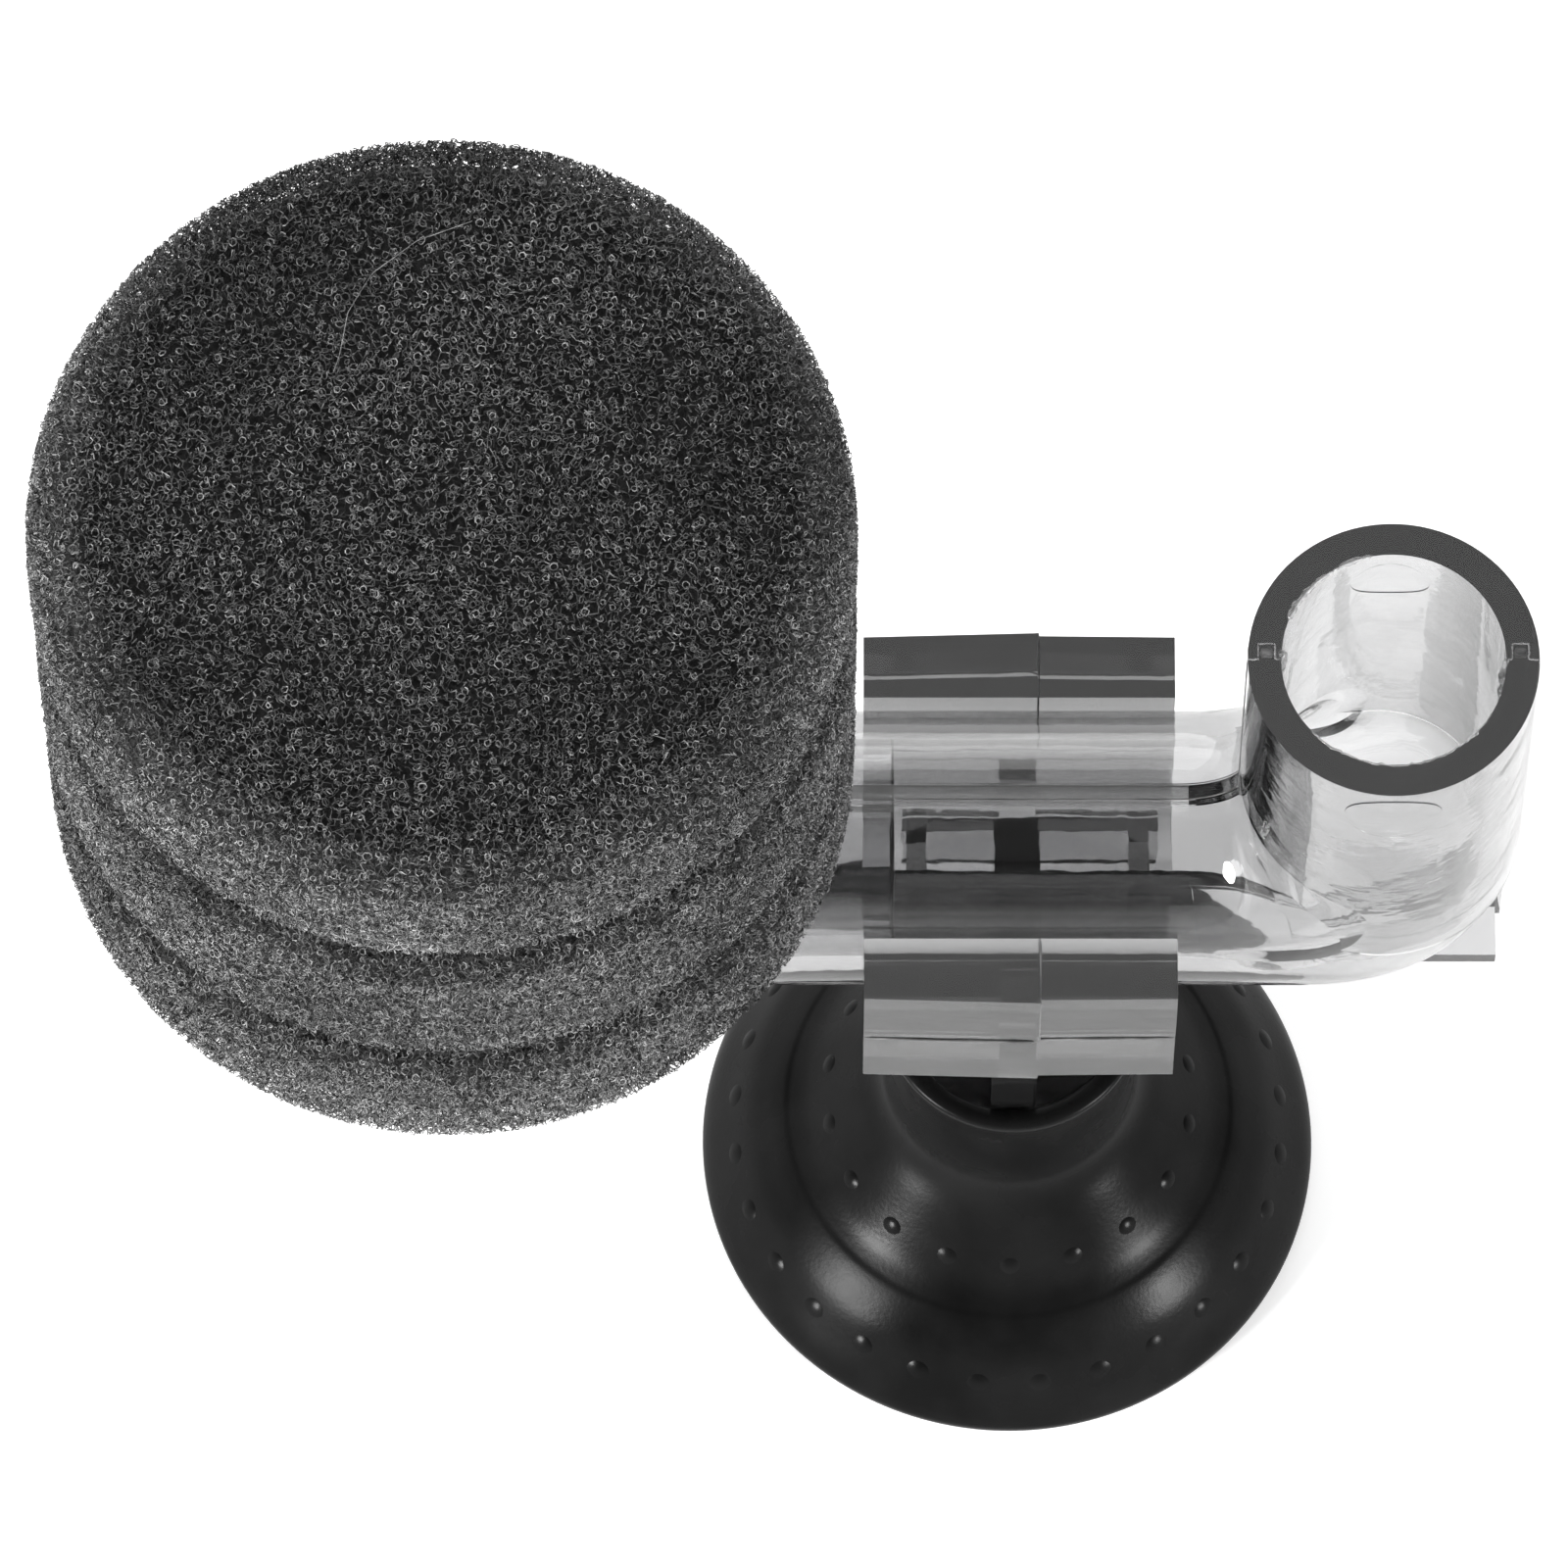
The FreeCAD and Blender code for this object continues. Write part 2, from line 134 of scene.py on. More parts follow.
def smoky_plastic(name, density, tint=0.95, roughness=0.03):
    """Clear smoky styrene: absorbs along the path, with moulding haze and fine scratches."""
    material, tree, shader = new_material(name)
    haze = texture(tree, "ShaderNodeTexNoise", 90, 4.0)
    scratch = texture(tree, "ShaderNodeTexNoise", 700, 2.0, (0.08, 1.0, 1.0))
    shader.inputs["Base Color"].default_value = (tint, tint, tint * 1.005, 1)
    shader.inputs["Transmission Weight"].default_value = 1.0
    shader.inputs["IOR"].default_value = 1.49
    tree.links.new(
        ramp(tree, haze.outputs["Fac"], [(0.35, roughness * 0.4), (0.75, roughness * 2.2)]),
        shader.inputs["Roughness"],
    )
    waves = bump(tree, haze.outputs["Fac"], 0.25, 0.0004)
    tree.links.new(bump(tree, scratch.outputs["Fac"], 0.06, 0.0001, waves), shader.inputs["Normal"])
    absorb = tree.nodes.new("ShaderNodeVolumeAbsorption")
    absorb.inputs["Color"].default_value = (0, 0, 0, 1)
    absorb.inputs["Density"].default_value = density
    tree.links.new(absorb.outputs["Volume"], tree.nodes["Material Output"].inputs["Volume"])
    return material


def rubber_material():
    """Soft black rubber with a satin skin, dust haze and faint flow marks."""
    material, tree, shader = new_material("cup_black_rubber")
    dust = texture(tree, "ShaderNodeTexNoise", 110, 5.0)
    grain = texture(tree, "ShaderNodeTexNoise", 2600, 2.0)
    tone = ramp(tree, dust.outputs["Fac"], [(0.35, 0.003), (0.75, 0.008)])
    tree.links.new(tone, shader.inputs["Base Color"])
    tree.links.new(ramp(tree, dust.outputs["Fac"], [(0.3, 0.20), (0.8, 0.34)]), shader.inputs["Roughness"])
    tree.links.new(bump(tree, grain.outputs["Fac"], 0.12, 0.00008), shader.inputs["Normal"])
    shader.inputs["Specular IOR Level"].default_value = 0.06
    return material


def core_material():
    """Black moulded plastic of the hidden strainer."""
    material, tree, shader = new_material("strainer_black_plastic")
    grain = texture(tree, "ShaderNodeTexNoise", 900, 3.0)
    tone = ramp(tree, grain.outputs["Fac"], [(0.3, 0.018), (0.8, 0.035)])
    tree.links.new(tone, shader.inputs["Base Color"])
    tree.links.new(ramp(tree, grain.outputs["Fac"], [(0.3, 0.35), (0.8, 0.55)]), shader.inputs["Roughness"])
    tree.links.new(bump(tree, grain.outputs["Fac"], 0.2, 0.0001), shader.inputs["Normal"])
    return material


# ---------------------------------------------------------------- mesh helpers
def mesh_object(name, points, faces, material, smooth=True):
    """An object from arrays: points in metres, faces all of one length."""
    faces = np.asarray(faces, np.int32)
    mesh = bpy.data.meshes.new(name)
    mesh.vertices.add(len(points))
    mesh.vertices.foreach_set("co", np.asarray(points, np.float32).ravel())
    mesh.loops.add(faces.size)
    mesh.loops.foreach_set("vertex_index", faces.ravel())
    mesh.polygons.add(len(faces))
    mesh.polygons.foreach_set("loop_start", np.arange(len(faces), dtype=np.int32) * faces.shape[1])
    mesh.polygons.foreach_set("use_smooth", np.full(len(faces), smooth))
    mesh.update(calc_edges=True)
    mesh.materials.append(material)
    made = bpy.data.objects.new(name, mesh)
    bpy.context.scene.collection.objects.link(made)
    return made


def welded(made):
    """Joins corners that share a place, drops what has collapsed and turns the faces outwards."""
    mesh = bmesh.new()
    mesh.from_mesh(made.data)
    bmesh.ops.remove_doubles(mesh, verts=mesh.verts, dist=1e-7)
    loose = [edge for edge in mesh.edges if not edge.link_faces]
    bmesh.ops.delete(mesh, geom=loose, context="EDGES")
    bmesh.ops.recalc_face_normals(mesh, faces=mesh.faces)
    mesh.to_mesh(made.data)
    mesh.free()
    return made


def lathe(name, profile, centre, material, steps=256, closed=True):
    """Turns a list of (radius, z) points about the upright line through centre."""
    profile = np.asarray(profile, float)
    turns = np.linspace(0, 2 * math.pi, steps, endpoint=False)
    ring = np.stack([np.cos(turns), np.sin(turns)], -1)
    points = np.zeros((len(profile), steps, 3))
    points[..., :2] = profile[:, None, :1] * ring[None]
    points[..., 2] = profile[:, 1:2]
    points += np.asarray(centre)
    rows = len(profile) if closed else len(profile) - 1
    i = np.arange(rows)[:, None]
    j = np.arange(steps)[None]
    k, l = (i + 1) % len(profile), (j + 1) % steps
    faces = np.stack([i * steps + j, i * steps + l, k * steps + l, k * steps + j], -1)
    return welded(mesh_object(name, points.reshape(-1, 3), faces.reshape(-1, 4), material))


# ---------------------------------------------------------------- the foam block
EDGE_R = 4.0 * MM
GROOVE_DEPTH = 6.5 * MM
GROOVE_HALF = 3.0 * MM
GROOVES_Z = (100.6 * MM, 121.2 * MM)
BORE_R = 10.2 * MM
BORE_TOP = 132.1 * MM
LIP = 0.9 * MM
GROOVE_FLOOR = 0.35 * MM
CELL = 0.95 * MM
FACE_SHELL = 0.60 * MM
SIDE_SHELL = 1.35 * MM
CORE_GAP = 0.1 * MM  # between the struts' shell and the body inside it
STRUT_T = 0.085 * MM
RIM_T = 0.080 * MM
RIM_DEPTH = 0.62 * MM
RIM_SIDES = 8
LATTICE_REACH = 44 * MM  # from the middle of the block past its furthest corner
LATTICE_TILT = (("X", 0.61), ("Y", 0.94), ("Z", 0.37))


def sponge_outline(side_inset=0.0, face_inset=0.0):
    """Outer (radius, z) outline of the block from its back face to its front face, moved inwards."""
    radius, low, high = SPONGE_R - side_inset, SPONGE_LO.z + face_inset, SPONGE_HI.z - face_inset
    corner = EDGE_R + side_inset / 2
    points = [(BORE_R, low), (radius - corner, low)]
    arc = [math.radians(a) for a in range(-80, 0, 10)]
    points += [(radius - corner + corner * math.cos(a), low + corner + corner * math.sin(a)) for a in arc]
    for z in GROOVES_Z:
        points += [
            (radius, z - GROOVE_HALF - LIP),
            (radius - 0.25 * LIP, z - GROOVE_HALF - 0.3 * LIP),
            (radius - LIP, z - GROOVE_HALF + 0.4 * LIP),
            (radius - GROOVE_DEPTH, z - GROOVE_FLOOR),
            (radius - GROOVE_DEPTH, z + GROOVE_FLOOR),
            (radius - LIP, z + GROOVE_HALF - 0.4 * LIP),
            (radius - 0.25 * LIP, z + GROOVE_HALF + 0.3 * LIP),
            (radius, z + GROOVE_HALF + LIP),
        ]
    arc = [math.radians(a) for a in range(0, 90, 10)]
    points += [(radius - corner + corner * math.cos(a), high - corner + corner * math.sin(a)) for a in arc]
    points += [(radius - corner, high), (0.0, high)]
    return points


def depth_below(points, outline):
    """How far each point lies inside the outline turned about the sponge's axis; negative outside."""
    r = np.hypot(points[:, 0] - SPONGE_X, points[:, 1])
    z = points[:, 2]
    best = np.full(len(points), 1e9)
    inside = np.zeros(len(points), bool)
    loop = np.array(outline + [(0.0, outline[0][1]), outline[0]])
    for a, b in zip(outline[:-1], outline[1:]):
        ax, az = a
        dx, dz = b[0] - ax, b[1] - az
        t = np.clip(((r - ax) * dx + (z - az) * dz) / (dx * dx + dz * dz), 0, 1)
        best = np.minimum(best, np.hypot(r - ax - t * dx, z - az - t * dz))
    for a, b in zip(loop[:-1], loop[1:]):
        if a[1] != b[1]:
            crosses = (a[1] > z) != (b[1] > z)
            at = a[0] + (z - a[1]) / (b[1] - a[1]) * (b[0] - a[0])
            inside ^= crosses & (r < at)
    return np.where(inside, best, -best)


def kelvin_cell():
    """Corners and edges of the space-filling foam cell, in quarters of the lattice constant."""
    corners = []
    for order in ((0, 1, 2), (0, 2, 1), (1, 0, 2), (1, 2, 0), (2, 0, 1), (2, 1, 0)):
        for signs in range(4):
            point = [0, 0, 0]
            flips = [1 if signs & 1 else -1, 1 if signs & 2 else -1]
            for axis, value in enumerate(order):
                point[axis] = value * flips[value - 1] if value else 0
            corners.append(tuple(point))
    corners = np.array(sorted(set(corners)))
    gap = ((corners[:, None] - corners[None]) ** 2).sum(-1)
    edges = np.argwhere(np.triu(gap == 2))
    return corners, edges


def surface_normals(points, outline):
    """Outward directions of the turned outline nearest each point, from the slope of the depth."""
    step = 0.05 * MM
    slope = [
        depth_below(points - step * axis, outline) - depth_below(points + step * axis, outline)
        for axis in np.eye(3)
    ]
    normal = np.stack(slope, -1)
    return normal / np.maximum(np.linalg.norm(normal, axis=1), 1e-9)[:, None]


def shell_depth(points):
    """How deep the open struts are built: thin on the flat faces, deeper on the round side."""
    radius = np.hypot(points[:, 0] - SPONGE_X, points[:, 1])
    blend = np.clip((radius / SPONGE_R - 0.76) / 0.18, 0, 1)
    return FACE_SHELL + (SIDE_SHELL - FACE_SHELL) * blend


def warped(points, strength, jitter):
    """Lattice points bent by slow waves and scattered, so that no two cells are alike."""
    wave = 2 * math.pi / (7.3 * CELL)
    bend = [
        np.sin(wave * points[:, (i + 1) % 3] + i) + np.sin(0.43 * wave * points[:, i - 1] + 2 * i)
        for i in range(3)
    ]
    return points + strength * CELL * np.stack(bend, -1) + rng.normal(0, jitter * CELL, points.shape)


def lattice(outline):
    """Turn matrix, middle, and the cell centres that lie in or near the shell, in quarter cells."""
    turn = Matrix.Identity(3)
    for axis, angle in LATTICE_TILT:
        turn = turn @ Matrix.Rotation(angle, 3, axis)
    turn = np.array(turn)
    middle = np.array([SPONGE_X, 0.0, (SPONGE_LO.z + SPONGE_HI.z) / 2])
    half = int(math.ceil(LATTICE_REACH / CELL)) + 1
    axis = np.arange(-half, half + 1)
    grid = np.stack(np.meshgrid(axis, axis, axis, indexing="ij"), -1).reshape(-1, 3) * 4
    centres = np.concatenate([grid, grid + 2])
    place = centres * (CELL / 4) @ turn.T + middle
    depth = depth_below(place, outline)
    near = (depth > -1.6 * CELL) & (depth < shell_depth(place) + 1.6 * CELL)
    return turn, middle, centres[near]


def foam_network(outline, turn, middle, centres):
    """Struts of the open cells in the shell, cut off at the surface: start and end points."""
    corners, edges = kelvin_cell()
    points = (centres[:, None] + corners[None]).reshape(-1, 3)
    key = ((points[:, 0] + 4096) << 28) + ((points[:, 1] + 4096) << 14) + (points[:, 2] + 4096)
    unique, first, number = np.unique(key, return_index=True, return_inverse=True)
    number = number.reshape(len(centres), -1)
    pairs = np.stack([number[:, edges[:, 0]], number[:, edges[:, 1]]], -1).reshape(-1, 2)
    pairs.sort(axis=1)
    pairs = np.unique(pairs[:, 0] * len(unique) + pairs[:, 1])
    a, b = pairs // len(unique), pairs % len(unique)
    at = warped(points[first] * (CELL / 4), 0.45, 0.12) @ turn.T + middle
    depth = depth_below(at, outline)
    limit = shell_depth(at)
    keep = (np.maximum(depth[a], depth[b]) > 0) & (depth[a] < limit[a]) & (depth[b] < limit[b])
    keep &= rng.random(len(a)) < 0.86
    a, b = a[keep], b[keep]
    da, db = depth[a], depth[b]
    start, end = at[a], at[b]
    cut = np.where(da < 0, -da / np.maximum(db - da, 1e-9), 0)[:, None]
    start = start + (end - start) * cut
    cut = np.where(db < 0, -db / np.maximum(da - db, 1e-9), 0)[:, None]
    end = end + (at[a] - end) * cut
    long_enough = np.linalg.norm(end - start, axis=1) > 0.08 * MM
    return start[long_enough], end[long_enough]


def cell_rims(outline, turn, middle, centres):
    """Round windows of the cells that lie open at the surface: start and end points of their sides."""
    spots = np.concatenate([centres, centres[rng.random(len(centres)) < 0.6] + np.array([2.0, 1.0, 0.0])])
    at = warped(spots * (CELL / 4), 0.45, 0.22) @ turn.T + middle
    depth = depth_below(at, outline)
    at = at[(depth > 0.02 * MM) & (depth < RIM_DEPTH)]
    normal = surface_normals(at, outline) + rng.normal(0, 0.45, at.shape)
    normal /= np.linalg.norm(normal, axis=1)[:, None]
    side = np.cross(normal, rng.normal(size=at.shape))
    side /= np.linalg.norm(side, axis=1)[:, None]
    other = np.cross(normal, side)
    size = CELL * rng.uniform(0.18, 0.34, len(at))[:, None]
    corners = []
    for k in range(RIM_SIDES):
        angle = 2 * math.pi * k / RIM_SIDES
        reach = size * rng.uniform(0.84, 1.14, size.shape)
        corner = at + reach * (math.cos(angle) * side + math.sin(angle) * other)
        corners.append(corner + normal * rng.normal(0, 0.03 * CELL, size.shape))
    start = np.stack(corners, 1)
    end = np.roll(start, -1, axis=1)
    kept = rng.random(start.shape[:2]) < 0.90
    start, end = start[kept], end[kept]
    inside = (depth_below(start, outline) > -0.12 * MM) & (depth_below(end, outline) > -0.12 * MM)
    return start[inside], end[inside]


def strut_mesh(name, start, end, thickness, material):
    """Every strut as a three-sided bar."""
    along = end - start
    along /= np.linalg.norm(along, axis=1)[:, None]
    side = np.cross(along, rng.normal(size=along.shape))
    side /= np.linalg.norm(side, axis=1)[:, None]
    other = np.cross(along, side)
    size = thickness / 2 * rng.uniform(0.7, 1.3, len(start))[:, None]
    start, end = start - along * size, end + along * size
    rings = []
    for k in range(3):
        turn = 2 * math.pi * k / 3
        out = size * (math.cos(turn) * side + math.sin(turn) * other)
        rings += [start + out, end + out]
    points = np.stack(rings, 1).reshape(-1, 3)
    base = np.arange(len(start))[:, None] * 6
    quads = [
        np.stack([base + 2 * k, base + 2 * ((k + 1) % 3), base + 2 * ((k + 1) % 3) + 1, base + 2 * k + 1], -1)
        for k in range(3)
    ]
    return mesh_object(name, points, np.concatenate(quads, 1).reshape(-1, 4), material, smooth=False)


LINT_KNOTS = ((-50.4, 10.4), (-50.0, 12.3), (-49.3, 15.2), (-47.6, 18.2), (-44.6, 20.6), (-40.4, 22.3))
LINT_T = 0.07 * MM


def lint_fibre(material):
    """A fine curved hair that lies on the front face."""
    knots = np.array(LINT_KNOTS)
    along = np.linspace(0, len(knots) - 1, 60)
    x = np.interp(along, range(len(knots)), knots[:, 0]) + 0.12 * np.sin(along * 2.1)
    y = np.interp(along, range(len(knots)), knots[:, 1]) + 0.10 * np.cos(along * 1.7)
    path = np.stack([x * MM, y * MM, np.full(60, SPONGE_HI.z + 0.05 * MM)], -1)
    return strut_mesh("lint_fibre", path[:-1], path[1:], LINT_T, material)


def build_sponge():
    outline = sponge_outline()
    turn, middle, centres = lattice(outline)
    struts = foam_network(outline, turn, middle, centres)
    rims = cell_rims(outline, turn, middle, centres)
    # The net keeps the foam's own dark tone; the cell rims and the lint fibre take a lighter copy of it,
    # painted light on the outermost struts.
    net = strut_mesh("foam_strut_net", *struts, STRUT_T, foam_material("foam_struts", 0.045, 0.13))
    lit_foam = foam_material("foam_cell_rims_painted_light", 0.11, 0.32)
    windows = strut_mesh("foam_cell_rims_painted_light", *rims, RIM_T, lit_foam)
    fibre = lint_fibre(lit_foam)
    inner = [(0.0, BORE_TOP), (BORE_R, BORE_TOP)]
    profile = inner + sponge_outline(SIDE_SHELL + CORE_GAP, FACE_SHELL + CORE_GAP)
    # The body inside the struts wears the painted shade of the foam's depth.
    body = lathe("foam_body", profile, (SPONGE_X, 0, 0), foam_core_shade_material(), closed=False)
    for piece in (body, net, windows, fibre):
        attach(piece, "sponge")
    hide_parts("foam_sponge")


# ---------------------------------------------------------------- the suction cup
def smooth_profile(points, steps=6):
    """Catmull-Rom curve through (radius, z) points."""
    p = np.asarray(points, float)
    p = np.vstack([2 * p[0] - p[1], p, 2 * p[-1] - p[-2]])
    out = []
    for i in range(1, len(p) - 2):
        for s in range(steps):
            t = s / steps
            out.append(
                0.5
                * (
                    2 * p[i]
                    + (p[i + 1] - p[i - 1]) * t
                    + (2 * p[i - 1] - 5 * p[i] + 4 * p[i + 1] - p[i + 2]) * t * t
                    + (3 * p[i] - p[i - 1] - 3 * p[i + 1] + p[i + 2]) * t**3
                )
            )
    out.append(p[-2])
    return np.array(out)


CUP_OUTSIDE = [
    (24.1, 0.15), (24.2, 0.6), (24.1, 1.2), (23.5, 2.3), (22.2, 4.1), (20.6, 6.2), (19.0, 7.8),
    (17.9, 8.75), (17.2, 9.2), (15.9, 10.3), (14.2, 12.2), (12.2, 14.6), (10.6, 16.6), (9.85, 18.4),
    (9.7, 20.5), (9.7, 24.5), (9.8, 28.0), (10.0, 30.2), (10.15, 31.2), (10.05, 31.75), (9.6, 32.0),
    (9.0, 31.95), (8.5, 31.7), (8.38, 31.2),
]
CUP_SOCKET = [(8.38, 30.7), (8.9, 30.5), (8.9, 27.9), (0.0, 27.85)]
CUP_UNDERSIDE = [
    (0.0, 7.4), (6.0, 6.9), (12.0, 5.2), (17.5, 2.6), (21.4, 0.35), (22.0, 0.05), (23.6, 0.0),
]
CUP_DOTS = [(28, 21.5, 5.0, 0.80), (18, 14.3, 12.1, 0.65)]  # count, ring radius, height, dot radius
# Rings of one dot from its foot inwards, as shares of its radius: how wide, how high.
DOT_SHAPE = [(1.35, -0.10), (1.10, -0.01), (0.85, 0.06), (0.60, 0.12), (0.30, 0.16)]
DOT_TIP = 0.17
DOT_TILT = 1.05  # rise of a dot's axis over its reach outwards
DOT_SIDES = 16


def grip_dots(material):
    """The moulded pimples on the skirt and on the dome, each a low round cap."""
    points, faces = [], []
    steps = DOT_SIDES
    for count, ring, height, size in CUP_DOTS:
        for k in range(count):
            turn = 2 * math.pi * (k + 0.5) / count
            out = Vector((math.cos(turn), math.sin(turn), 0))
            up = (out + Vector((0, 0, DOT_TILT))).normalized()
            side = Vector((-out.y, out.x, 0))
            across = up.cross(side)
            centre = out * ring + Vector((0, 0, height))
            base = len(points)
            for spread, lift in DOT_SHAPE:
                for s in range(steps):
                    a = 2 * math.pi * s / steps
                    rim = (side * math.cos(a) + across * math.sin(a)) * size * spread
                    points.append((centre + rim + up * size * lift) * MM)
            points.append((centre + up * size * DOT_TIP) * MM)
            last = len(DOT_SHAPE) - 1
            for row in range(last):
                for s in range(steps):
                    i, j = base + row * steps + s, base + row * steps + (s + 1) % steps
                    faces.append((i, j, j + steps, i + steps))
            top, tip = base + last * steps, base + (last + 1) * steps
            faces += [(top + s, top + (s + 1) % steps, tip) for s in range(steps)]
    mesh = bpy.data.meshes.new("cup_grip_dots")
    mesh.from_pydata(points, [], faces)
    mesh.shade_smooth()
    mesh.materials.append(material)
    made = bpy.data.objects.new("cup_grip_dots", mesh)
    bpy.context.scene.collection.objects.link(made)
    return made


def build_cup():
    material = rubber_material()
    profile = np.vstack([smooth_profile(CUP_OUTSIDE), CUP_SOCKET, smooth_profile(CUP_UNDERSIDE)]) * MM
    cup = lathe("rubber_cup", profile, (0, 0, 0), material)
    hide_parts("suction_cup")
    for piece in (cup, grip_dots(material)):
        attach(piece, "cup")


# ---------------------------------------------------------------- clear parts
def dress_clear_parts():
    body = smoky_plastic("smoky_clear_styrene", 145.0)
    clip = smoky_plastic("clip_clear_styrene", 210.0, roughness=0.06)
    black = core_material()
    looks = {
        "lift_tube_upper_shell": body,
        "lift_tube_lower_shell": body,
        "intake_elbow_upper_shell": body,
        "intake_elbow_lower_shell": body,
        "air_nipple": body,
        "air_jet_tube": body,
        "tube_clip": clip,
        "strainer_core": black,
        "strainer_end_cap": black,
    }
    for name, material in looks.items():
        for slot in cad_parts[name].material_slots:
            slot.material = material


# ---------------------------------------------------------------- seams and glue
TUBE_Z, TUBE_R, LEG_R, LEG_BORE_R, LEG_X = 67.0, 10.4, 10.75, 8.3, 27.0
LEG_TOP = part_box("lift_tube_upper_shell")[1].z / MM
THROAT_R = 15.1
TONGUE = 1.25
KEY_END_R = np.array([0.2, 0.39, 0.4, 0.41, 0.4, 0.41, 0.39, 0.2])
KEY_END_DEPTH = 0.36
KEY_END_Y = 0.62
OUTER_SEAM_Z = 77.0
GLUE_RUN = {"left": 9.0, "right": 12.0}  # how far the glue has run down from the mouth
CLIP_PART_X, CLIP_STEP_Z, CLIP_LIP_Z, CLIP_LEAN = 1.5, 63.7, 72.2, 1.0
CLIP_END_X, CLIP_LINE_X = 11.8, 11.7
CLIP_LEFT_W, CLIP_RIGHT_W = (14.1, 14.45), (14.2, 14.1)  # half widths at the ends of each half
CLIP_PART_Y = 14.44
CLIP_LIP_Y = (14.4, 9.3)
SPIGOT_X, SPIGOT_R = -9.7, 8.12
KEY_IN, KEY_OUT = 8.725, 9.975  # the square key in the wall, as radii of the leg


def swept(name, path, radii, material, sides=8):
    """A round bead along path (millimetres) whose radius follows radii, closed at both ends."""
    path = np.asarray(path, float)
    radii = np.broadcast_to(np.asarray(radii, float), len(path))
    along = np.gradient(path, axis=0)
    along /= np.linalg.norm(along, axis=1)[:, None]
    spare = np.array([0.31, 0.87, 0.38])
    side = np.cross(along, spare)
    side /= np.linalg.norm(side, axis=1)[:, None]
    other = np.cross(along, side)
    turn = 2 * math.pi * np.arange(sides) / sides
    rings = np.cos(turn)[None, :, None] * side[:, None] + np.sin(turn)[None, :, None] * other[:, None]
    points = path[:, None] + radii[:, None, None] * rings
    points[0], points[-1] = path[0], path[-1]
    i = np.arange(len(path) - 1)[:, None] * sides
    j = np.arange(sides)[None]
    k = (j + 1) % sides
    faces = np.stack([i + j, i + k, i + sides + k, i + sides + j], -1).reshape(-1, 4)
    return welded(mesh_object(name, points.reshape(-1, 3) * MM, faces, material))


def crown_line(y):
    """The seam's path at y along the tube, round the inside corner and up the leg to the mouth."""
    crown = TUBE_Z + math.sqrt(TUBE_R**2 - y**2)
    leg_side = LEG_X - math.sqrt(LEG_R**2 - y**2)
    corner_x, corner_z = LEG_X - THROAT_R, TUBE_Z + THROAT_R
    corner_r = corner_z - crown
    path = [(x, y, crown) for x in np.linspace(-9.4, corner_x, 40)]
    last = -math.acos(min(1.0, (leg_side - corner_x) / corner_r))
    arc = np.linspace(-math.pi / 2, last, 12)[1:]
    path += [(corner_x + corner_r * math.cos(a), y, corner_z + corner_r * math.sin(a)) for a in arc]
    path += [(leg_side, y, z) for z in np.linspace(path[-1][2] + 0.8, LEG_TOP - 0.05, 26)]
    return np.array(path)


def ragged(count, low, high):
    """Smoothly wandering bead radii."""
    knots = rng.uniform(low, high, max(4, count // 3))
    return np.interp(np.linspace(0, 1, count), np.linspace(0, 1, len(knots)), knots)


def seam_material():
    """Shadow in the joint of the two shells, broken where the glue has run in."""
    material, tree, shader = new_material("seam_shadow")
    gap = texture(tree, "ShaderNodeTexNoise", 420, 3.0)
    tree.links.new(ramp(tree, gap.outputs["Fac"], [(0.35, 0.03), (0.7, 0.16)]), shader.inputs["Base Color"])
    tree.links.new(ramp(tree, gap.outputs["Fac"], [(0.3, 0.3), (0.7, 0.6)]), shader.inputs["Roughness"])
    return material


def glue_material():
    """Clear set glue, brighter and rougher than the plastic it has run over."""
    material, tree, shader = new_material("set_glue")
    ripple = texture(tree, "ShaderNodeTexNoise", 1300, 3.0)
    shader.inputs["Transmission Weight"].default_value = 0.75
    shader.inputs["IOR"].default_value = 1.45
    tree.links.new(ramp(tree, ripple.outputs["Fac"], [(0.3, 0.62), (0.7, 0.86)]), shader.inputs["Base Color"])
    tree.links.new(ramp(tree, ripple.outputs["Fac"], [(0.3, 0.06), (0.7, 0.30)]), shader.inputs["Roughness"])
    tree.links.new(bump(tree, ripple.outputs["Fac"], 0.7, 0.0002), shader.inputs["Normal"])
    return material


def seam_lines(shadow):
    """Both edges of the tongue along the inside of the bend, and the joint on its outside."""
    pieces = []
    for k, (y, width) in enumerate(((0.0, 0.055), (TONGUE, 0.045))):
        line = crown_line(y)
        thick = ragged(len(line), 0.7 * width, 1.2 * width)
        pieces.append(swept(f"seam_line_{k}", line, thick, shadow, 6))
    outer = [(LEG_X + LEG_R, 0.0, z) for z in np.linspace(OUTER_SEAM_Z, LEG_TOP - 0.05, 24)]
    pieces.append(swept("seam_line_outer", outer, ragged(24, 0.04, 0.08), shadow, 6))
    return pieces


def key_outline(side, name, glue):
    """The stepped joint across the mouth's wall, from the outside in, with glue along it."""
    keys = [
        (LEG_R, 0), (KEY_OUT, 0), (KEY_OUT, TONGUE), (KEY_IN, TONGUE), (KEY_IN, 0), (LEG_BORE_R, 0),
    ]
    outline = []
    for (r0, y0), (r1, y1) in zip(keys[:-1], keys[1:]):
        for t in np.linspace(0, 1, 6)[:-1]:
            wander = rng.normal(0, 0.025, 2)
            r, y = r0 + (r1 - r0) * t + wander[0], y0 + (y1 - y0) * t + wander[1]
            outline.append((LEG_X + side * r, y, LEG_TOP + 0.01))
    return swept(f"key_outline_{name}", outline, ragged(len(outline), 0.03, 0.085), glue, 6)


def key_end(side, name, shadow):
    """The dark square end of the tongue just below the mouth."""
    reach = np.linspace(KEY_IN + 0.1, KEY_OUT - 0.1, len(KEY_END_R))
    fill = [(LEG_X + side * r, KEY_END_Y, LEG_TOP - KEY_END_DEPTH) for r in reach]
    return swept(f"key_end_{name}", fill, KEY_END_R, shadow)


